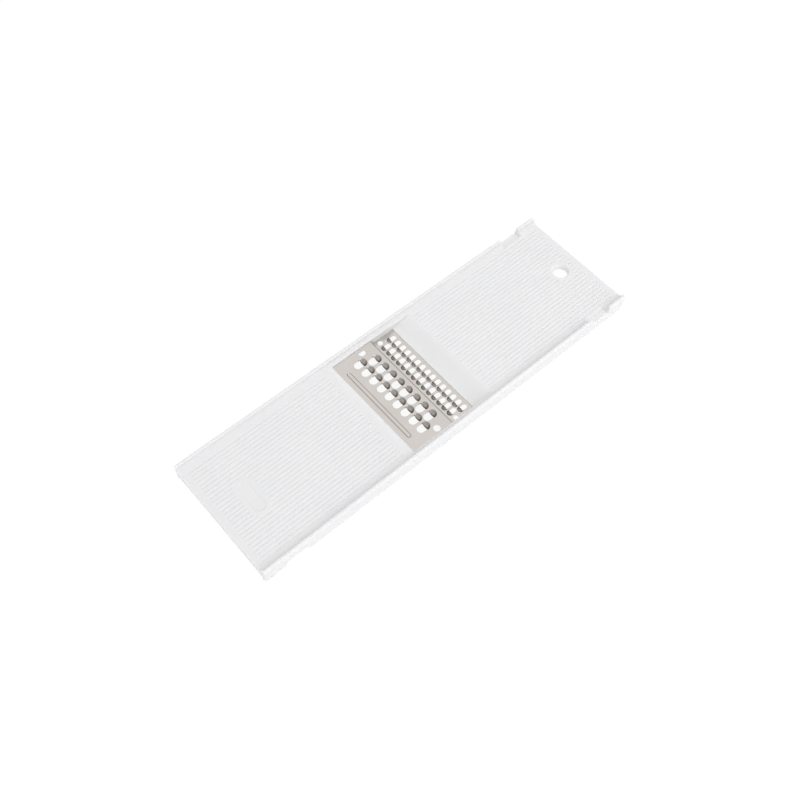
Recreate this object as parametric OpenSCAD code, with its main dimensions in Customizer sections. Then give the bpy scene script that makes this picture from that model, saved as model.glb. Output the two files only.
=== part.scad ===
// Reversible grating board: a moulded plastic board with side rails, and one stamped
// steel plate moulded into its window. A coarse band of teeth cuts on the underside and a
// fine band cuts on the top side. The origin is the middle of the board, +X runs to the
// end with the hanging hole, and the board works the same when it is turned over about Y.

/* [Board] */
// Length of the board
board_l = 300; // [260:1:360]
// Width over the two rails
board_w = 89; // [86:0.5:110]
// Thickness of the web between the rails
web_t = 5.6; // [5.4:0.1:7]
// Height over the rails
rail_h = 13; // [12.5:0.1:18]
// Width of a rail's top
rail_w = 2.2; // [2:0.1:3]
// Radius of the blend between the web and a rail
rail_blend = 3; // [1:0.1:3]
// Radius along the edges of a rail
rail_edge_r = 0.6; // [0.3:0.1:0.9]
// Radius of the board's corners, seen from above
corner_r = 2; // [1:0.1:4]

/* [Window and ramps] */
// Left edge of the window, towards the coarse end
window_x0 = -33; // [-40:0.5:-31]
// Right edge of the window, towards the fine end
window_x1 = 17.6; // [17.5:0.1:24]
// Width of the window between the rails
window_w = 79; // [78:0.5:80]
// Length of the ramp that leads down to each band of teeth
ramp_l = 14.4; // [10:0.1:20]
// Thickness of the plastic over the plate's held edge
lip_t = 0.4; // [0.2:0.1:0.8]

/* [Grooves] */
// Number of grooves across the web
groove_n = 28; // [10:1:28]
// Distance from one groove to the next
groove_pitch = 2.7; // [2:0.05:2.7]
// Width of one groove
groove_w = 1.6; // [0.8:0.1:1.8]
// Depth of one groove
groove_d = 0.35; // [0.1:0.05:0.5]
// Plain strip between the window and the first groove
groove_gap = 6.5; // [2:0.5:15]
// Plain strip at the ends of the board
end_gap = 4; // [2:0.5:10]

/* [Hanging hole] */
// Diameter of the hanging hole
hang_d = 10; // [6:0.5:14]
// Distance from the board's end to the hole's centre
hang_inset = 16; // [12:0.5:30]
// Width of the plain ring round the hole
hang_ring = 2.5; // [1:0.5:4]

/* [Bowl notches] */
// Length of a notch in the rails
notch_l = 15.5; // [10:0.5:20]
// Length of the tip between a notch and the board's end
notch_tip_l = 16.5; // [12:0.5:20]
// Depth of a notch below the rail's top
notch_d = 4.5; // [3:0.1:4.9]
// Slant of the notch's outer side
notch_slant = 1.5; // [0:0.1:3]

/* [Plain badge] */
// Length of the plain patch along the board
badge_l = 14; // [8:1:20]
// Width of the plain patch across the board
badge_w = 28; // [20:1:40]
// Distance from the board's end to the patch's centre
badge_inset = 24.5; // [20:0.5:40]
// Border between the patch's edge and its dimple
badge_border = 2.5; // [2:0.5:3]
// Depth of the dimple
badge_d = 0.3; // [0.1:0.05:0.5]

/* [Plate] */
// Thickness of the steel sheet
sheet_t = 0.5; // [0.3:0.1:0.6]
// Height of the coarse band's top above the middle of the board
band_z = 2.4; // [2.2:0.1:2.4]
// Place of the step between the two bands
step_x = -0.9; // [-1.5:0.1:-0.5]
// Outside radius of the two bends in the step
bend_r = 1; // [0.7:0.1:1]
// Width of the edge that is held in the plastic
held = 1.6; // [1:0.1:2]

/* [Teeth] */
// Pitch of the coarse teeth
coarse_pitch = 7.55; // [7:0.05:7.55]
// Radius of a coarse hood
coarse_r = 3; // [2.5:0.1:3.1]
// Inner depth of a coarse hood
coarse_h = 2; // [1:0.1:2.2]
// Length of a coarse opening
coarse_open_l = 6.5; // [5:0.1:6.5]
// Pitch of the fine teeth
fine_pitch = 4.85; // [4.2:0.05:4.85]
// Radius of a fine hood
fine_r = 1.7; // [1.2:0.05:1.75]
// Inner depth of a fine hood
fine_h = 1; // [0.6:0.1:1.2]
// Length of a fine opening
fine_open_l = 4.8; // [3.5:0.1:4.8]
// Width of the stiffening bead beside the coarse teeth
bead_w = 3.2; // [2:0.1:3.2]
// Depth of the stiffening bead
bead_d = 0.6; // [0.3:0.1:0.8]
// Length of the stiffening bead
bead_l = 60.6; // [40:0.1:66]

/* [Hidden] */

$fn = 48;
cut = 1;                                  // how far a cutting shape runs past a face
web_top = web_t / 2;
rail_top = rail_h / 2;
end_x = board_l / 2;

// Two bands of the plate: the coarse one is high, the fine one is as far below the middle
sheet_top = band_z;
fine_top = sheet_t - band_z;
plate_w = window_w + 2 * held;

// Places of the cutting edges along X, and how many teeth each row has
coarse_rows = [[-15.7, 9], [-6.9, 8]];
fine_rows = [[4, 14], [10.8, 15]];
open_share = 0.95;                        // an opening's radius as a share of its hood's
bead_x = -27.6;
coarse_eye = [-11.3, 36, 2.4];            // x, y and radius of the plain round holes
fine_eye = [4.6, 36.4, 1.7];

// --- small shapes -------------------------------------------------------------------

// A prism along X from an outline drawn in Y and Z
module along_x(length) {
    rotate([90, 0, 90]) linear_extrude(length, center = true) children();
}

// A prism along Y from an outline drawn in X and Z
module along_y(length) {
    rotate([90, 0, 0]) linear_extrude(length, center = true) children();
}

// The same shape on the other face of the board, turned over about Y
module turned_over() {
    rotate([0, 180, 0]) children();
}

// A rectangle with round corners, centred
module round_rect(x, y, r) {
    square([x - 2 * r, y], center = true);
    square([x, y - 2 * r], center = true);
    for (sx = [-1, 1], sy = [-1, 1])
        translate([sx * (x / 2 - r), sy * (y / 2 - r)]) circle(r);
}

// Radius of a circle whose segment is w wide and d deep
function segment_r(w, d) = (w * w / 4 + d * d) / (2 * d);

// --- board --------------------------------------------------------------------------

module board_outline() {
    round_rect(board_l, board_w, corner_r);
}

// Section of both rails, with the blends down to the web
module rail_section() {
    blend_y = board_w / 2 - rail_w - rail_blend;
    for (side = [-1, 1]) scale([side, 1]) {
        translate([board_w / 2 - rail_w / 2, 0]) round_rect(rail_w, rail_h, rail_edge_r);
        difference() {
            translate([blend_y, -web_top - rail_blend])
                square([rail_blend + rail_w / 2, web_t + 2 * rail_blend]);
            for (z = [-1, 1])
                translate([blend_y, z * (web_top + rail_blend)]) circle(rail_blend);
        }
    }
}

// One notch outline in both rails on the upper side
module rail_notches() {
    x1 = end_x - notch_tip_l;
    x0 = x1 - notch_l;
    z0 = rail_top - notch_d;
    inner_y = board_w / 2 - rail_w - rail_blend;
    for (side = [-1, 1])
        translate([0, side * (inner_y + board_w / 2 + cut) / 2, 0])
            along_y(board_w / 2 + cut - inner_y)
                polygon([[x0, z0], [x1, z0], [x1 + notch_slant, rail_top],
                         [x1 + notch_slant, rail_top + cut], [x0, rail_top + cut]]);
}

// Grooves on the upper side from x0 to x1
module grooves(x0, x1) {
    r = segment_r(groove_w, groove_d);
    translate([(x0 + x1) / 2, 0, 0])
        along_x(x1 - x0)
            for (i = [0 : groove_n - 1])
                translate([(i - (groove_n - 1) / 2) * groove_pitch, web_top - groove_d + r])
                    circle(r);
}

// What stays plain among the grooves: a ring round the hanging hole
module hang_ring_body() {
    translate([end_x - hang_inset, 0, 0])
        cylinder(h = web_t + 2 * cut, r = hang_d / 2 + hang_ring, center = true);
}

module badge_patch(border) {
    translate([badge_inset - end_x, 0, 0])
        linear_extrude(web_t + 2 * cut)
            round_rect(badge_l - 2 * border, badge_w - 2 * border,
                       (badge_l - 2 * border) / 2 - 0.01);
}

// The grooves of both faces; the lower ones keep clear of the lower ramp
module all_grooves() {
    difference() {
        union() {
            grooves(end_gap - end_x, window_x0 - groove_gap);
            grooves(window_x1 + ramp_l, end_x - end_gap);
        }
        hang_ring_body();
        badge_patch(0);
    }
    difference() {
        turned_over() {
            grooves(end_gap - end_x, -window_x1 - groove_gap);
            grooves(ramp_l - window_x0, end_x - end_gap);
        }
        hang_ring_body();
    }
}

// The ramp on the upper side that leads down to the band whose edge is at x0
module ramp(x0) {
    low = fine_top + lip_t;
    along_y(window_w)
        polygon([[x0 - cut, low], [x0, low], [x0 + ramp_l, web_top],
                 [x0 + ramp_l, web_top + cut], [x0 - cut, web_top + cut]]);
}

module board() {
    color([0.93, 0.93, 0.94])
    difference() {
        union() {
            linear_extrude(web_t, center = true) board_outline();
            intersection() {
                along_x(board_l) rail_section();
                linear_extrude(rail_h, center = true) board_outline();
            }
        }
        all_grooves();
        translate([0, 0, web_top - badge_d]) badge_patch(badge_border);
        translate([(window_x0 + window_x1) / 2, 0, 0])
            cube([window_x1 - window_x0, window_w, web_t + 2 * cut], center = true);
        ramp(window_x1);
        turned_over() ramp(-window_x0);
        plate_blank();
        translate([end_x - hang_inset, 0, 0])
            cylinder(h = web_t + 2 * cut, d = hang_d, center = true);
        rail_notches();
        turned_over() rail_notches();
    }
}

// --- plate --------------------------------------------------------------------------

// A quarter of a bend in the sheet, in the quadrant that sx and sy point to
module bend(sx, sy) {
    difference() {
        intersection() {
            circle(bend_r);
            translate([sx < 0 ? -bend_r : 0, sy < 0 ? -bend_r : 0]) square(bend_r);
        }
        circle(bend_r - sheet_t);
    }
}

// The sheet's section: the high coarse band, the step and the low fine band
module sheet_section() {
    high_end = step_x - bend_r;
    low_start = step_x - sheet_t + bend_r;
    high_bend_z = sheet_top - bend_r;
    low_bend_z = fine_top - sheet_t + bend_r;
    translate([window_x0 - held, sheet_top - sheet_t])
        square([high_end - window_x0 + held, sheet_t]);
    translate([high_end, high_bend_z]) bend(1, 1);
    translate([step_x - sheet_t, low_bend_z]) square([sheet_t, high_bend_z - low_bend_z]);
    translate([low_start, low_bend_z]) bend(-1, -1);
    translate([low_start, fine_top - sheet_t])
        square([window_x1 + held - low_start, sheet_t]);
}

// The bent sheet before its teeth are pressed
module plate_blank() {
    along_y(plate_w) sheet_section();
}

// One child at each tooth of a row; the rows are centred across the board
module along_row(x, n, pitch) {
    for (i = [0 : n - 1])
        translate([x, (i - (n - 1) / 2) * pitch, 0]) children();
}

// A round cap h deep below the sheet's top, grown by the given amount
module cap(r, h, grown) {
    cap_r = segment_r(2 * r, h);
    translate([0, 0, cap_r - h]) sphere(cap_r + grown);
}

// Outside of one hood: it hangs below the sheet on the +X side of its cutting edge
module hood(r, h) {
    intersection() {
        cap(r, h, sheet_t);
        translate([0, -2 * r, -h - sheet_t - cut]) cube([2 * r, 4 * r, h + cut + sheet_t / 2]);
    }
}

// What one tooth takes out of the sheet: the hollow of its hood and its opening
module tooth_cut(r, h, open_l) {
    open_r = open_share * r;
    intersection() {
        cap(r, h, 0);
        translate([0, -2 * r, -h - cut]) cube([2 * r, 4 * r, h + 2 * cut]);
    }
    translate([0, 0, -sheet_t - cut]) linear_extrude(sheet_t + 2 * cut) {
        translate([open_r - open_l, 0]) circle(open_r);
        translate([open_r - open_l, -open_r]) square([open_l - open_r, 2 * open_r]);
    }
}

// A round-bottomed channel with round ends, r in section, sunk to the depth d
module channel(r, d) {
    translate([bead_x, 0, sheet_top - d + r]) {
        rotate([90, 0, 0]) cylinder(h = bead_l - bead_w, r = r, center = true);
        for (end = [-1, 1]) translate([0, end * (bead_l - bead_w) / 2, 0]) sphere(r);
    }
}

// The stiffening bead below the sheet
module bead_body() {
    r = segment_r(bead_w, bead_d);
    intersection() {
        channel(r + sheet_t, bead_d + sheet_t);
        translate([bead_x, 0, sheet_top - sheet_t / 2 - bead_w / 2])
            cube([2 * bead_w, 2 * bead_l, bead_w], center = true);
    }
}

// The plain round holes of one band, one near each rail
module eyes(eye, z) {
    for (side = [-1, 1])
        translate([eye[0], side * eye[1], z - sheet_t / 2])
            cylinder(h = sheet_t + 2 * cut, r = eye[2], center = true);
}

module grater_plate() {
    color([0.8, 0.78, 0.76])
    difference() {
        union() {
            plate_blank();
            bead_body();
            translate([0, 0, sheet_top])
                for (row = coarse_rows)
                    along_row(row[0], row[1], coarse_pitch) hood(coarse_r, coarse_h);
            translate([0, 0, fine_top - sheet_t])
                for (row = fine_rows)
                    along_row(row[0], row[1], fine_pitch) turned_over() hood(fine_r, fine_h);
        }
        channel(segment_r(bead_w, bead_d), bead_d);
        translate([0, 0, sheet_top])
            for (row = coarse_rows)
                along_row(row[0], row[1], coarse_pitch)
                    tooth_cut(coarse_r, coarse_h, coarse_open_l);
        translate([0, 0, fine_top - sheet_t])
            for (row = fine_rows)
                along_row(row[0], row[1], fine_pitch)
                    turned_over() tooth_cut(fine_r, fine_h, fine_open_l);
        eyes(coarse_eye, sheet_top);
        eyes(fine_eye, fine_top);
    }
}

board();
grater_plate();
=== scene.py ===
"""A reversible grating board: white moulded plastic, with a pressed steel plate moulded in."""

import math

import bmesh
import bpy
from mathutils import Matrix, Vector
from mathutils.geometry import delaunay_2d_cdt


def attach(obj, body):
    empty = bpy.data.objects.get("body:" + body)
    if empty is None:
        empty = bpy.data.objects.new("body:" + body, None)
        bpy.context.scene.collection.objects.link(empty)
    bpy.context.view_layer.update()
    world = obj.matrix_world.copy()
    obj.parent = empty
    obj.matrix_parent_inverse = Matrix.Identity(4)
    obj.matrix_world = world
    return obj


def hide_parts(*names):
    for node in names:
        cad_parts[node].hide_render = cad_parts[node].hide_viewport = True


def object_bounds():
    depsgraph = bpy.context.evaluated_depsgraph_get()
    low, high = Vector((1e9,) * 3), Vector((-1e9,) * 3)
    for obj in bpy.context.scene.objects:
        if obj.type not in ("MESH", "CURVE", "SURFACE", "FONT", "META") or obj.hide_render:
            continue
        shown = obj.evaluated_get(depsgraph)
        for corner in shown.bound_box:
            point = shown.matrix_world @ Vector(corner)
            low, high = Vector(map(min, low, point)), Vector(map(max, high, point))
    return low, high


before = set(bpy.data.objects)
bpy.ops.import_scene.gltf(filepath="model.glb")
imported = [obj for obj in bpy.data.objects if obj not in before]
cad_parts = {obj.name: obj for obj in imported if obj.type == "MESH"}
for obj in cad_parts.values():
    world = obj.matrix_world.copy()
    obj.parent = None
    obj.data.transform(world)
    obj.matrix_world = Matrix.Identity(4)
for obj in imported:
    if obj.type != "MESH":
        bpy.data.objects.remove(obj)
CAD_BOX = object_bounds()

MM = 0.001

# ---------------------------------------------------------------- sizes, in millimetres
# The board: +X to the hanging hole, Z through its thickness, origin in its middle.
HALF_LENGTH, HALF_WIDTH = 150.0, 44.5
WEB_TOP, RAIL_TOP = 2.8, 6.5
RAIL_WIDTH, RAIL_EDGE = 2.2, 0.6
RAIL_ROWS = (4.0, 2.0, 1.0)        # heights of the rows of points on a rail's outer face
BLEND_WIDTH, BLEND_HEIGHT = 5.5, 3.1      # the hollow curve from the web up into a rail
CORNER = 2.0                       # corner radius seen from above
CORNER_REACH = 1.0                 # how far past a rail's inner face a corner pulls it in
END_EDGE = 0.5                     # softened edge round each end
WINDOW = (-33.0, 17.6)             # the opening that holds the plate, along X
WINDOW_HALF = 39.5
RAMP_LENGTH, RAMP_LOW = 14.4, -1.5        # a ramp's length, and its surface's height at its lip
PLASTIC_CREASE = 38                # degrees; sharper edges of the board stay crisp

GROOVES, GROOVE_PITCH = 28, 2.7
GROOVE_WIDTH, GROOVE_DEPTH = 1.6, 0.35
GROOVE_FADE = 1.4                  # length over which a groove runs out
UPPER_GROOVES = ((-146.0, -39.5), (32.0, 146.0))
LOWER_GROOVES = ((-146.0, -47.4), (24.1, 146.0))

HOLE_X, HOLE_RADIUS = 134.0, 4.75  # the radius is at the hole's narrowest, half way down
HOLE_FLARE, HOLE_OPENING = 1.6, math.radians(80)    # the flare's width, and its last angle
HOLE_RING, RING_FADE = 7.5, 0.8    # the plain ring round the hole, and its fade into the ribs
NOTCH = (118.0, 133.5, 135.0)      # straight side, then the slanted side's foot and top
NOTCH_FLOOR, NOTCH_EDGE = 2.0, 0.4
NOTCH_DROP = 0.2                   # length over which the straight side falls
NOTCH_START = 39.3                 # where the notch begins across the board
PATCH_X, PATCH_RADIUS, PATCH_HALF = -125.5, 7.0, 7.0
PATCH_BORDER, PATCH_DEPTH = 2.5, 0.4      # the flat border, and the dish inside it
PATCH_FADE, DISH_FADE = 0.8, 0.7

# The plate: one bent sheet, high on the coarse side and low on the fine side.
SHEET = 0.5
BAND_Z = 2.4
PLATE_X, PLATE_HALF = (-34.6, 19.2), 41.1
STEP_X, BEND = -0.9, 1.0           # the step's far face, and its bends' outer radius
STEEL_CREASE = 40                  # degrees; sharper edges of the plate stay crisp

# Each row of teeth: place of its cutting edges along X, and how many teeth.
COARSE_ROWS, COARSE_PITCH = ((-15.7, 9), (-6.9, 8)), 7.55
FINE_ROWS, FINE_PITCH = ((4.0, 14), (10.8, 15)), 4.85
# One tooth: hood radius, hood depth, opening length and opening half width.
COARSE_TOOTH = (3.0, 2.1, 6.3, 2.65)
FINE_TOOTH = (1.7, 1.2, 4.9, 1.65)
DRAW = 0.3                         # width of the soft bend round a hood
HOOD_FAN = math.pi * 0.62          # how far round a hood its rows of points reach, each way
HOOD_SWELL = 2.2                   # power of a hood's curve: higher is flatter on top
OPEN_SIDE = 2.2                    # how much faster a hood falls away beyond its cutting edge
TOOTH_REACH = (8, 4)               # beyond this, along and across, a tooth shapes nothing
BEAD = (-27.8, 1.8, 28.7, 0.5)     # middle along X, half width, half straight length, depth
BEAD_WALL = 0.5                    # share of the bead's half width that its wall takes
EYES = ((-11.3, 36.0, 2.4), (4.6, 36.4, 1.7))       # plain round holes: x, y and radius
# How much painted shade the metal gets: 0 on the flat sheet, 1 at a tooth's cutting edge. The dull
# strip behind a cutting edge gets the darkest painted shade.
HOOD_SHADE, BEND_SHADE, BEAD_SHADE = 0.5, 0.5, 0.45
RIM_FADE, BEND_FADE = 0.15, 0.3    # how soon that starts, from a hood's rim and from a bend
LIP = 1.8                          # width of the dull strip behind a cutting edge


# ---------------------------------------------------------------- small tools
def smooth(t):
    """0 below 0, 1 above 1, and an S curve between."""
    t = min(max(t, 0.0), 1.0)
    return t * t * (3 - 2 * t)


def spread(start, end, step):
    """Evenly spaced values from start to end, no further apart than step."""
    n = max(1, math.ceil((end - start) / step - 1e-9))
    return [start + (end - start) * i / n for i in range(n + 1)]


def weld(mesh):
    """Joins points that lie in one place and makes every face look outwards."""
    bm = bmesh.new()
    bm.from_mesh(mesh)
    bmesh.ops.remove_doubles(bm, verts=bm.verts, dist=0.002 * MM)
    bmesh.ops.dissolve_degenerate(bm, edges=bm.edges, dist=0.001 * MM)
    bmesh.ops.recalc_face_normals(bm, faces=bm.faces)
    bm.to_mesh(mesh)
    bm.free()


def make_piece(name, points, faces, material, crease, shares=None):
    """A mesh piece from points in millimetres; shares are named values, one for each point."""
    mesh = bpy.data.meshes.new(name)
    mesh.from_pydata([[c * MM for c in p] for p in points], [], faces)
    mesh.validate()
    for label, values in (shares or {}).items():
        mesh.attributes.new(label, "FLOAT", "POINT").data.foreach_set("value", values)
    piece = bpy.data.objects.new(name, mesh)
    bpy.context.scene.collection.objects.link(piece)
    mesh.materials.append(material)
    weld(mesh)
    mesh.shade_smooth()
    mesh.set_sharp_from_angle(angle=math.radians(crease))
    return piece


def settle(piece, crease):
    """Applies a piece's modifiers and marks its sharp edges afresh."""
    bpy.context.view_layer.update()
    seen = piece.evaluated_get(bpy.context.evaluated_depsgraph_get())
    mesh = bpy.data.meshes.new_from_object(seen)
    piece.modifiers.clear()
    piece.data = mesh
    mesh.shade_smooth()
    mesh.set_sharp_from_angle(angle=math.radians(crease))


# ---------------------------------------------------------------- materials
def linear(code):
    """A linear RGBA colour from an sRGB hex code."""
    values = [int(code[i:i + 2], 16) / 255 for i in (1, 3, 5)]
    return [c / 12.92 if c <= 0.04045 else ((c + 0.055) / 1.055) ** 2.4 for c in values] + [1.0]


def add(tree, kind, settings=None, links=None):
    """Adds a node; settings are its properties or inputs, links are input name to output socket."""
    node = tree.nodes.new("ShaderNode" + kind)
    for key, value in (settings or {}).items():
        if key in node.inputs:
            node.inputs[key].default_value = value
        else:
            setattr(node, key, value)
    for key, socket in (links or {}).items():
        tree.links.new(socket, node.inputs[key])
    return node


def new_material(name):
    """A material with its node tree and its shader."""
    material = bpy.data.materials.new(name)
    material.use_nodes = True
    tree = material.node_tree
    return material, tree, tree.nodes["Principled BSDF"]


def abs_plastic():
    """White ABS from a finely eroded mould: satin, milky, with soft highlights on a fine grain."""
    material, tree, shader = new_material("white_moulded_abs")
    place = add(tree, "TexCoord").outputs["Object"]
    # The real grain is about 0.05 mm across; it is made ten times as coarse, so that it shows.
    grain = add(tree, "TexNoise", {"Scale": 1 / (0.5 * MM), "Detail": 2.0}, {"Vector": place})
    flow = add(tree, "TexNoise", {"Scale": 1 / (35 * MM), "Detail": 3.0}, {"Vector": place})
    tint = add(tree, "Mix", {"data_type": "RGBA"}, {0: flow.outputs["Fac"]})
    tint.inputs[6].default_value = linear("#E7E7E9")
    tint.inputs[7].default_value = linear("#ECECEC")
    gloss = add(tree, "MapRange", {"To Min": 0.34, "To Max": 0.46}, {"Value": flow.outputs["Fac"]})
    bump = add(tree, "Bump", {"Strength": 0.08, "Distance": 0.02 * MM},
               {"Height": grain.outputs["Fac"]})
    tree.links.new(tint.outputs[2], shader.inputs["Base Color"])
    tree.links.new(gloss.outputs["Result"], shader.inputs["Roughness"])
    tree.links.new(bump.outputs["Normal"], shader.inputs["Normal"])
    shader.inputs["IOR"].default_value = 1.53
    shader.inputs["Subsurface Weight"].default_value = 1.0
    shader.inputs["Subsurface Radius"].default_value = (1.0, 1.0, 0.95)
    shader.inputs["Subsurface Scale"].default_value = 1.2 * MM
    return material


def stainless_sheet():
    """Cold-rolled stainless, lightly brushed: streaks along the board, with painted shade on the
    teeth, the step's bends and the bead's walls.
    """
    material, tree, shader = new_material("brushed_stainless_sheet")
    place = add(tree, "TexCoord").outputs["Object"]
    # Real brush lines are about 0.05 mm wide; these are 0.25 mm wide and 12 mm long, to show.
    along = add(tree, "Mapping", {"Scale": (1 / (12 * MM), 1 / (0.25 * MM), 1 / (2 * MM))},
                {"Vector": place})
    streaks = add(tree, "TexNoise", {"Scale": 1.0, "Detail": 3.0}, {"Vector": along.outputs[0]})
    stains = add(tree, "TexNoise", {"Scale": 1 / (18 * MM), "Detail": 2.0}, {"Vector": place})
    tint = add(tree, "Mix", {"data_type": "RGBA"}, {0: stains.outputs["Fac"]})
    tint.inputs[6].default_value = linear("#CAC5C0")
    tint.inputs[7].default_value = linear("#D6D1CC")
    # Painted shade: the teeth, the step's bends and the bead's walls are painted darker. This stands
    # in for the shade in them and dims the glints they reflect.
    drawn = add(tree, "Attribute", {"attribute_name": "drawn"}).outputs["Fac"]
    metal = add(tree, "Mix", {"data_type": "RGBA"}, {0: drawn, 6: tint.outputs[2]})
    metal.inputs[7].default_value = linear("#6C6763")
    rough = add(tree, "MapRange", {"To Min": 0.18, "To Max": 0.3},
                {"Value": streaks.outputs["Fac"]})
    bump = add(tree, "Bump", {"Strength": 0.12, "Distance": 0.01 * MM},
               {"Height": streaks.outputs["Fac"]})
    tree.links.new(metal.outputs[2], shader.inputs["Base Color"])
    tree.links.new(rough.outputs["Result"], shader.inputs["Roughness"])
    tree.links.new(bump.outputs["Normal"], shader.inputs["Normal"])
    shader.inputs["Metallic"].default_value = 1.0
    return material


def white_table():
    """A white table top that glows a little, like a light table, so shadows on it stay faint."""
    material, tree, shader = new_material("white_table")
    shader.inputs["Base Color"].default_value = linear("#6C6C6C")
    shader.inputs["Roughness"].default_value = 0.9
    shader.inputs["Emission Color"].default_value = linear("#FFFFFF")
    shader.inputs["Emission Strength"].default_value = 0.86
    return material


# ---------------------------------------------------------------- board
def groove_profile(y):
    """Share of the full groove depth at y: 1 in the middle of a groove, 0 on the ribs."""
    across = y / GROOVE_PITCH + (GROOVES - 1) / 2
    nearest = round(across)
    if nearest < 0 or nearest > GROOVES - 1:
        return 0.0
    off = abs(across - nearest) * GROOVE_PITCH / (GROOVE_WIDTH / 2)
    return 0.5 + 0.5 * math.cos(math.pi * min(off, 1.0))


def patch_distance(x, y):
    """Distance outside the edge of the plain patch; negative inside it."""
    return math.hypot(x - PATCH_X, max(abs(y) - PATCH_HALF, 0.0)) - PATCH_RADIUS


def groove_depth(x, y, spans):
    """Depth of the grooves at a place, where spans are the grooved lengths along X."""
    ends = max(smooth((x - a) / GROOVE_FADE) * smooth((b - x) / GROOVE_FADE) for a, b in spans)
    if ends == 0.0:
        return 0.0
    ring = smooth((math.hypot(x - HOLE_X, y) - HOLE_RING) / RING_FADE)
    return GROOVE_DEPTH * groove_profile(y) * ends * ring


def upper_web(x, y):
    """Height of the web's upper surface."""
    z = WEB_TOP
    if abs(y) <= WINDOW_HALF + 0.01 and WINDOW[1] <= x <= WINDOW[1] + RAMP_LENGTH:
        z -= (WEB_TOP - RAMP_LOW) * (1 - (x - WINDOW[1]) / RAMP_LENGTH)
    patch = patch_distance(x, y)
    z -= groove_depth(x, y, UPPER_GROOVES) * smooth(patch / PATCH_FADE)
    return z - PATCH_DEPTH * smooth((-PATCH_BORDER - patch) / DISH_FADE)


def lower_web(x, y):
    """Depth of the web's lower surface, counted as positive."""
    z = WEB_TOP
    if abs(y) <= WINDOW_HALF + 0.01 and WINDOW[0] - RAMP_LENGTH <= x <= WINDOW[0]:
        z -= (WEB_TOP - RAMP_LOW) * (1 - (WINDOW[0] - x) / RAMP_LENGTH)
    return z - groove_depth(x, y, LOWER_GROOVES)


def blend_rise(y):
    """How far the hollow curve beside a rail stands above the web."""
    share = 1 - (HALF_WIDTH - RAIL_WIDTH - abs(y)) / BLEND_WIDTH
    return BLEND_HEIGHT * (1 - math.sqrt(max(0.0, 1 - share * share))) if share > 0 else 0.0


def rail_outline():
    """Points of one rail's upper half, from the window's side to the outer face, as y and z."""
    foot = HALF_WIDTH - RAIL_WIDTH - BLEND_WIDTH
    first = math.asin((WINDOW_HALF + 0.06 - foot) / BLEND_WIDTH)
    points = []
    for i in range(9):
        angle = first + (math.pi / 2 - first) * i / 8
        points.append((foot + BLEND_WIDTH * math.sin(angle),
                       WEB_TOP + BLEND_HEIGHT * (1 - math.cos(angle))))
    inner, outer = HALF_WIDTH - RAIL_WIDTH + RAIL_EDGE, HALF_WIDTH - RAIL_EDGE
    for centre, start in ((inner, math.pi), (outer, math.pi / 2)):
        for i in range(6):
            angle = start - math.pi / 2 * i / 5
            points.append((centre + RAIL_EDGE * math.cos(angle),
                           RAIL_TOP - RAIL_EDGE + RAIL_EDGE * math.sin(angle)))
    return points + [(HALF_WIDTH, z) for z in RAIL_ROWS]


def notch_share(x):
    """0 outside the notch, 1 where the rail is fully cut away."""
    straight, foot, top = NOTCH
    if x <= straight:
        return 0.0
    return min(1.0, (x - straight) / NOTCH_DROP, max(0.0, (top - x) / (top - foot)))


def rail_point(x, y, z, notch_x):
    """A rail point after the notch, the rounded corner and the softened end are cut."""
    share = notch_share(notch_x)
    if share > 0:
        floor = NOTCH_FLOOR
        over = (y - HALF_WIDTH + NOTCH_EDGE) / NOTCH_EDGE
        if over > 0:
            floor -= NOTCH_EDGE * (1 - math.sqrt(max(0.0, 1 - over * over)))
        z = z + (min(z, floor) - z) * share
    past = abs(x) - (HALF_LENGTH - CORNER)
    pinch_y = HALF_WIDTH - RAIL_WIDTH - CORNER_REACH
    if past > 0 and y > pinch_y:
        edge = HALF_WIDTH - CORNER + math.sqrt(max(0.0, CORNER ** 2 - past ** 2))
        y = pinch_y + (y - pinch_y) * (edge - pinch_y) / (HALF_WIDTH - pinch_y)
    return y, z


def end_drop(x):
    """How far the surfaces fall at the softened end edges."""
    past = (abs(x) - (HALF_LENGTH - END_EDGE)) / END_EDGE
    return END_EDGE * (1 - math.sqrt(max(0.0, 1 - past * past))) if past > 0 else 0.0


def web_samples():
    """Half of the web's sample places across the board, from the middle outwards."""
    step = GROOVE_PITCH / 8
    ys = [i * step for i in range(1, int((GROOVES / 2 + 0.5) * 8))]
    return ys + [NOTCH_START, WINDOW_HALF]


def board_stations():
    """Places along the board, close together where the surface changes."""
    xs = set()
    spans = [(-145.5, -133, 6), (-133, -118, 0.5), (-118, -47.4, 12), (-47.4, -33, 3.6),
             (-33, 17.6, 10), (17.6, 32, 3.6), (32, 118, 12), (118, 126, 4),
             (126, 142, 0.5), (142, 145.5, 2)]
    for a, b, step in spans:
        xs.update(round(x, 4) for x in spread(a, b, step))
    for a, b in UPPER_GROOVES + LOWER_GROOVES:
        xs.update(round(a + GROOVE_FADE * i / 4, 4) for i in range(5))
        xs.update(round(b - GROOVE_FADE * i / 4, 4) for i in range(5))
    for side in (-1, 1):
        xs.update(side * x for x in (NOTCH[0], NOTCH[0] + NOTCH_DROP, NOTCH[1], NOTCH[2]))
        xs.update(round(side * (HALF_LENGTH - CORNER * (1 - math.sin(a * math.pi / 12))), 4)
                  for a in range(7))
        xs.update(round(side * (HALF_LENGTH - END_EDGE * (1 - math.sin(a * math.pi / 10))), 4)
                  for a in range(6))
    ordered = sorted(xs)
    kept = [ordered[0]]
    for x in ordered[1:]:
        if x - kept[-1] > 0.02:
            kept.append(x)
    return kept


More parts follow.
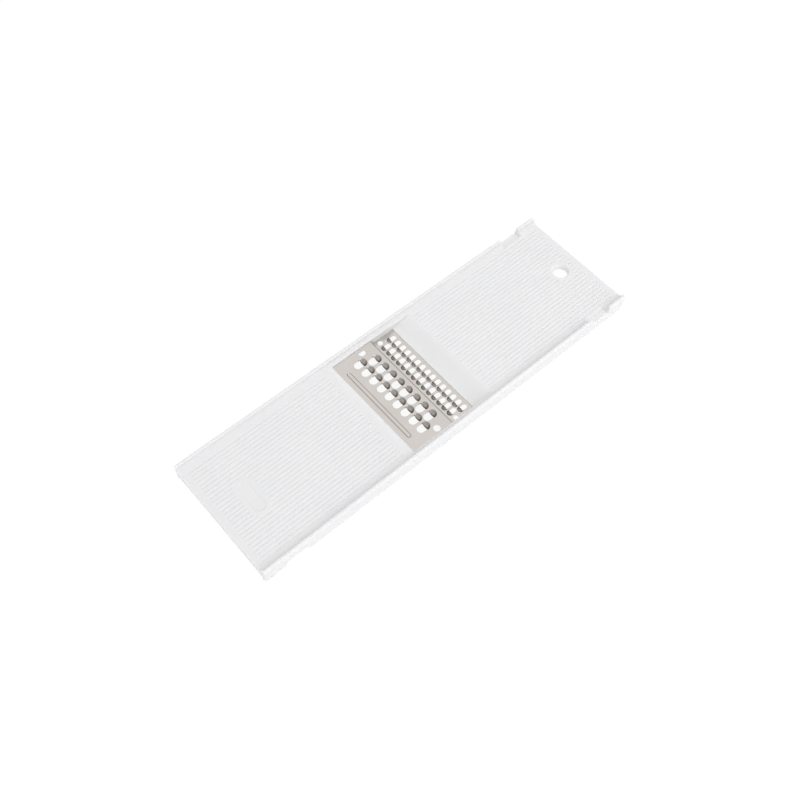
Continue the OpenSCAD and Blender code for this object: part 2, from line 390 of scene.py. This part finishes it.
def board_section(x, web, notch_x):
    """Half the section at x, as y and z from one rail's outer face over to the other's."""
    share = notch_share(notch_x)
    right = []
    for y in web_samples():
        z = web(x, y) + blend_rise(y) * (1 - share)
        if y > NOTCH_START:
            z += (min(z, NOTCH_FLOOR) - z) * share
        right.append((y, z))
    right += [rail_point(x, y, z, notch_x) for y, z in rail_outline()]
    line = [(-y, z) for y, z in reversed(right)] + [(0.0, web(x, 0.0))] + right
    return [(y, z - end_drop(x)) for y, z in line]


def build_board(material):
    """The board's shell: sections joined along X, open at the window, then bored."""
    xs = board_stations()
    points, upper, lower = [], [], []
    for x in xs:
        up = board_section(x, upper_web, x)
        down = board_section(x, lower_web, -x)
        upper.append(range(len(points), len(points) + len(up)))
        points += [(x, y, z) for y, z in up]
        lower.append(range(len(points), len(points) + len(down)))
        points += [(x, y, -z) for y, z in down]
    n = len(upper[0])
    edge = n // 2 - len(web_samples())
    across = range(edge, n - 1 - edge)        # the rows that span the window
    first, last = xs.index(WINDOW[0]), xs.index(WINDOW[1])
    faces = []
    for s in range(len(xs) - 1):
        a, b, c, d = upper[s], upper[s + 1], lower[s], lower[s + 1]
        for i in range(n - 1):
            if first <= s < last and i in across:
                continue
            faces.append((a[i], b[i], b[i + 1], a[i + 1]))
            faces.append((c[i], c[i + 1], d[i + 1], d[i]))
        for i in (0, n - 1):
            faces.append((a[i], c[i], d[i], b[i]))
        if first <= s < last:
            for i in (across.start, across.stop):
                faces.append((a[i], b[i], d[i], c[i]))
    for s in (0, len(xs) - 1):
        faces.append((*upper[s], *reversed(lower[s])))
    for s in (first, last):
        faces += [(upper[s][i], upper[s][i + 1], lower[s][i + 1], lower[s][i]) for i in across]
    board = make_piece("board_shell", points, faces, material, PLASTIC_CREASE)
    bore(board, material)
    return board


def bore(board, material):
    """Cuts the hanging hole: narrow half way down, and flared towards both surfaces."""
    profile = []
    for i in range(8):
        angle = HOLE_OPENING * (1 - i / 7)
        profile.append((HOLE_RADIUS + HOLE_FLARE * (1 - math.cos(angle)),
                        WEB_TOP * math.sin(angle)))
    profile.insert(0, (profile[0][0] + 1.0, WEB_TOP + 0.6))    # the cutter's end, in the open
    profile += [(r, -z) for r, z in reversed(profile[:-1])]
    turns = 64
    points, faces = [], []
    for r, z in profile:
        for k in range(turns):
            angle = 2 * math.pi * k / turns
            points.append((HOLE_X + r * math.cos(angle), r * math.sin(angle), z))
    for j in range(len(profile) - 1):
        for k in range(turns):
            m = (k + 1) % turns
            faces.append((j * turns + k, j * turns + m, (j + 1) * turns + m, (j + 1) * turns + k))
    faces.append(tuple(range(turns)))
    faces.append(tuple(range(len(points) - turns, len(points))))
    cutter = make_piece("hole_cutter", points, faces, material, PLASTIC_CREASE)
    cut = board.modifiers.new("hanging_hole", "BOOLEAN")
    cut.operation = "DIFFERENCE"
    cut.solver = "EXACT"
    cut.object = cutter
    settle(board, PLASTIC_CREASE)
    bpy.data.objects.remove(cutter)


# ---------------------------------------------------------------- plate
def sheet_path():
    """Stations along the sheet's middle: flat length, then x, z and its top's normal, x and z."""
    half = SHEET / 2
    bend = BEND - half
    high, low = BAND_Z - half, half - BAND_Z
    start, corner = PLATE_X[0], STEP_X - BEND
    path = [(0.0, start, high, 0.0, 1.0)]
    length = corner - start
    for i in range(7):
        angle = math.pi / 2 * i / 6
        path.append((length + bend * angle, corner + bend * math.sin(angle),
                     BAND_Z - BEND + bend * math.cos(angle), math.sin(angle), math.cos(angle)))
    length += bend * math.pi / 2 + (BAND_Z - BEND) * 2
    foot = STEP_X - SHEET + BEND
    for i in range(7):
        angle = math.pi / 2 * i / 6
        path.append((length + bend * angle, foot - bend * math.cos(angle),
                     BEND - BAND_Z - bend * math.sin(angle), math.cos(angle), math.sin(angle)))
    length += bend * math.pi / 2
    path.append((length + PLATE_X[1] - foot, PLATE_X[1], low, 0.0, 1.0))
    return path


def teeth():
    """Every tooth as edge x, y, which way its hood lies, and its sizes."""
    found = []
    for rows, pitch, side, sizes in ((COARSE_ROWS, COARSE_PITCH, 1, COARSE_TOOTH),
                                     (FINE_ROWS, FINE_PITCH, -1, FINE_TOOTH)):
        for x, count in rows:
            found += [(x, (i - (count - 1) / 2) * pitch, side, sizes) for i in range(count)]
    return found


def hood_inset(x, y, tooth):
    """How far inside one hood a place lies: 0 at its rim and beyond, 1 in the middle of its edge."""
    edge, middle, side, (radius, _, _, _) = tooth
    along = (x - edge) * side
    if along < 0:
        along *= OPEN_SIDE
    return max(0.0, 1 - math.hypot(along, y - middle) / (radius + DRAW))


def hood_rise(inset, depth):
    """How far a hood stands off the sheet, from the inset."""
    return depth * (1 - (1 - inset) ** HOOD_SWELL)


def bead_drop(x, y):
    """How far the pressed bead sinks below the sheet."""
    middle, half, straight, depth = BEAD
    off = math.hypot(x - middle, max(abs(y) - straight, 0.0)) / half
    return depth * smooth((1 - off) / BEAD_WALL)


def bead_slope(x, y):
    """1 half way down the bead's sides, 0 on its floor and on the flat sheet."""
    share = bead_drop(x, y) / BEAD[3]
    return 4 * share * (1 - share)


def opening_outline(tooth):
    """A tooth's opening: a straight cutting edge, two sides and a round far end."""
    edge, middle, side, (_, _, length, r) = tooth
    back = r - length
    steps = 10
    outline = [(back - r * math.sin(math.pi * i / steps), -r * math.cos(math.pi * i / steps))
               for i in range(steps + 1)]
    outline += [(back / 2, r)]
    outline += [(0.0, r * (1 - i / 5)) for i in range(11)]
    outline += [(back / 2, -r)]
    return [(edge + side * a, middle + b) for a, b in outline]


def circle_outline(x, y, r, count):
    """A closed outline of count points round a circle."""
    return [(x + r * math.cos(2 * math.pi * i / count), y + r * math.sin(2 * math.pi * i / count))
            for i in range(count)]


def plate_plan(path):
    """Points, edges and hole outlines in the plane of the flattened sheet."""
    to_flat = path[-1][0] - path[-1][1]
    points, edges, holes = [], [], []

    def flat(x):
        return x - PLATE_X[0] if x < STEP_X - BEND else x + to_flat

    def outline(loop):
        first = len(points)
        points.extend((flat(x), y) for x, y in loop)
        edges.extend((first + i, first + (i + 1) % len(loop)) for i in range(len(loop)))
        holes.append([(flat(x), y) for x, y in loop])

    for station in path:
        first = len(points)
        points.extend((station[0], y) for y in spread(-PLATE_HALF, PLATE_HALF, 4.2))
        edges.extend((i, i + 1) for i in range(first, len(points) - 1))
    for tooth in teeth():
        outline(opening_outline(tooth))
        edge, middle, side, (radius, _, _, _) = tooth
        rim = radius + DRAW
        for r in [rim * k / 9 for k in range(1, 10)] + [rim * 0.96, rim + 0.12]:
            for i in range(-12, 13):
                angle = HOOD_FAN * i / 12
                along = r * math.cos(angle)
                if along > 0.05 or r > rim * 0.9:
                    points.append((flat(edge + side * along), middle + r * math.sin(angle)))
    for x, y, r in EYES:
        for way in (-1, 1):
            outline(circle_outline(x, way * y, r, 28))
    middle, half, straight, _ = BEAD
    for share in (0.0, 0.4, 0.5, 0.6, 0.7, 0.8, 0.9, 1.0, 1.1):
        r = half * share
        for off in (-r, r):
            points.extend((flat(middle + off), y) for y in spread(-straight, straight, 4.1))
        for i in range(1, 12):
            angle = math.pi * i / 12
            points.extend((flat(middle + r * math.cos(angle)),
                           way * (straight + r * math.sin(angle))) for way in (-1, 1))
    return points, edges, holes


def inside(point, loop):
    """Whether a point lies inside a closed outline."""
    x, y = point
    found = False
    for (x0, y0), (x1, y1) in zip(loop, loop[1:] + loop[:1]):
        if (y0 > y) != (y1 > y) and x < x0 + (y - y0) * (x1 - x0) / (y1 - y0):
            found = not found
    return found


def build_plate(material):
    """The plate: a flat net of triangles, bent, pressed into teeth, and given its thickness."""
    path = sheet_path()
    plan, edges, holes = plate_plan(path)
    made = delaunay_2d_cdt([Vector(p) for p in plan], edges, [], 0, 1e-5)
    flat_points, triangles = made[0], made[2]
    boxes = [(min(p[0] for p in h), max(p[0] for p in h), min(p[1] for p in h),
              max(p[1] for p in h), h) for h in holes]
    kept = []
    for t in triangles:
        cx = sum(flat_points[i].x for i in t) / 3
        cy = sum(flat_points[i].y for i in t) / 3
        if not any(a < cx < b and c < cy < d and inside((cx, cy), h) for a, b, c, d, h in boxes):
            kept.append(tuple(t))
    all_teeth = teeth()
    lifted, drawn = [], []
    for p in flat_points:
        s, y = p.x, min(max(p.y, -PLATE_HALF), PLATE_HALF)
        k = max(i for i in range(len(path) - 1) if path[i][0] <= s + 1e-6)
        a, b = path[k], path[k + 1]
        t = (s - a[0]) / (b[0] - a[0])
        x, z = a[1] + (b[1] - a[1]) * t, a[2] + (b[2] - a[2]) * t
        rise = 0.0
        # painted shade: darker round the step's bends; on the flat bands, below, painted shade in
        # the hoods, darkest behind the cutting edges, and on the bead's walls
        shade_share = BEND_SHADE * smooth((a[3] + (b[3] - a[3]) * t) / BEND_FADE)
        if k == 0 or k == len(path) - 2:
            near = [q for q in all_teeth
                    if abs(q[0] - x) < TOOTH_REACH[0] and abs(q[1] - y) < TOOTH_REACH[1]]
            inset, side, depth, edge = max([(hood_inset(x, y, q), q[2], q[3][1], q[0])
                                            for q in near] + [(0.0, 1, 0.0, x)])
            rise = -side * hood_rise(inset, depth) - bead_drop(x, y)
            lip = smooth(1 - side * (x - edge) / LIP)
            shade_share = max(smooth(inset / RIM_FADE) * (HOOD_SHADE + (1 - HOOD_SHADE) * lip),
                         BEAD_SHADE * bead_slope(x, y))
        lifted.append((x, y, z + rise))
        drawn.append(shade_share)
    plate = make_piece("pressed_plate", lifted, kept, material, STEEL_CREASE, {"drawn": drawn})
    thick = plate.modifiers.new("sheet", "SOLIDIFY")
    thick.thickness = SHEET * MM
    thick.offset = 0.0
    thick.use_even_offset = True
    settle(plate, STEEL_CREASE)
    return plate


# ---------------------------------------------------------------- scene
def place_camera():
    """A camera close above the board's near left side."""
    camera = bpy.data.objects.new("camera", bpy.data.cameras.new("camera"))
    bpy.context.scene.collection.objects.link(camera)
    azimuth, height, roll = -2.322, 1.037, 0.043       # radians
    aim, distance = Vector((-0.0146, -0.0052, 0.0)), 0.6327
    back = Vector((math.cos(height) * math.cos(azimuth), math.cos(height) * math.sin(azimuth),
                   math.sin(height)))
    right = Vector((0, 0, 1)).cross(back).normalized()
    turned = Matrix.Rotation(roll, 3, back) @ right
    axes = Matrix((turned, back.cross(turned), back)).transposed()
    camera.rotation_mode = "QUATERNION"
    camera.rotation_quaternion = axes.to_quaternion()
    camera.location = aim + back * distance
    camera.data.sensor_width = 36.0
    camera.data.lens = 45.4
    bpy.context.scene.camera = camera


def area_light(name, place, size, power):
    """A round white light at a place, in metres, turned to the board's middle."""
    light = bpy.data.lights.new(name, "AREA")
    light.shape = "DISK"
    light.size = size
    light.energy = power
    lamp = bpy.data.objects.new(name, light)
    bpy.context.scene.collection.objects.link(lamp)
    lamp.location = place
    lamp.rotation_mode = "QUATERNION"
    lamp.rotation_quaternion = (-Vector(place)).to_track_quat("-Z", "Y")


def light_scene():
    """A pale studio: bright overhead and dark along the horizon, with one large soft light."""
    world = bpy.data.worlds.new("studio")
    bpy.context.scene.world = world
    world.use_nodes = True
    tree = world.node_tree
    sky = tree.nodes["Background"]
    way = add(tree, "TexCoord").outputs["Generated"]
    height = add(tree, "SeparateXYZ", links={"Vector": way}).outputs["Z"]
    rise = add(tree, "MapRange", {"To Min": 0.54, "To Max": 1.12}, {"Value": height})
    low = add(tree, "MapRange",
              {"From Min": 0.02, "From Max": 0.28, "To Min": 0.35, "To Max": 1.0},
              {"Value": height})
    power = add(tree, "Math", {"operation": "MULTIPLY"},
                {0: rise.outputs["Result"], 1: low.outputs["Result"]})
    tree.links.new(power.outputs["Value"], sky.inputs["Strength"])
    sky.inputs["Color"].default_value = linear("#FFFFFF")
    area_light("front_softbox", (0.2, -0.95, 0.56), 1.2, 3.6)
    bpy.context.scene.view_settings.view_transform = "Standard"


def lay_floor():
    """The table top, a hair below the rails."""
    mesh = bpy.data.meshes.new("table_top")
    half, z = 3.0, CAD_BOX[0].z - 0.05 * MM
    corners = [(-half, -half, z), (half, -half, z), (half, half, z), (-half, half, z)]
    mesh.from_pydata(corners, [], [(0, 1, 2, 3)])
    table = bpy.data.objects.new("table_top", mesh)
    bpy.context.scene.collection.objects.link(table)
    mesh.materials.append(white_table())


plastic = abs_plastic()
steel = stainless_sheet()
for name, material in (("board", plastic), ("grater_plate", steel)):
    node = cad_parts[name]
    node.data.materials.clear()
    node.data.materials.append(material)

board = build_board(plastic)
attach(board, "root")
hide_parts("board")

plate = build_plate(steel)
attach(plate, "root")
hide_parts("grater_plate")

lay_floor()
place_camera()
light_scene()
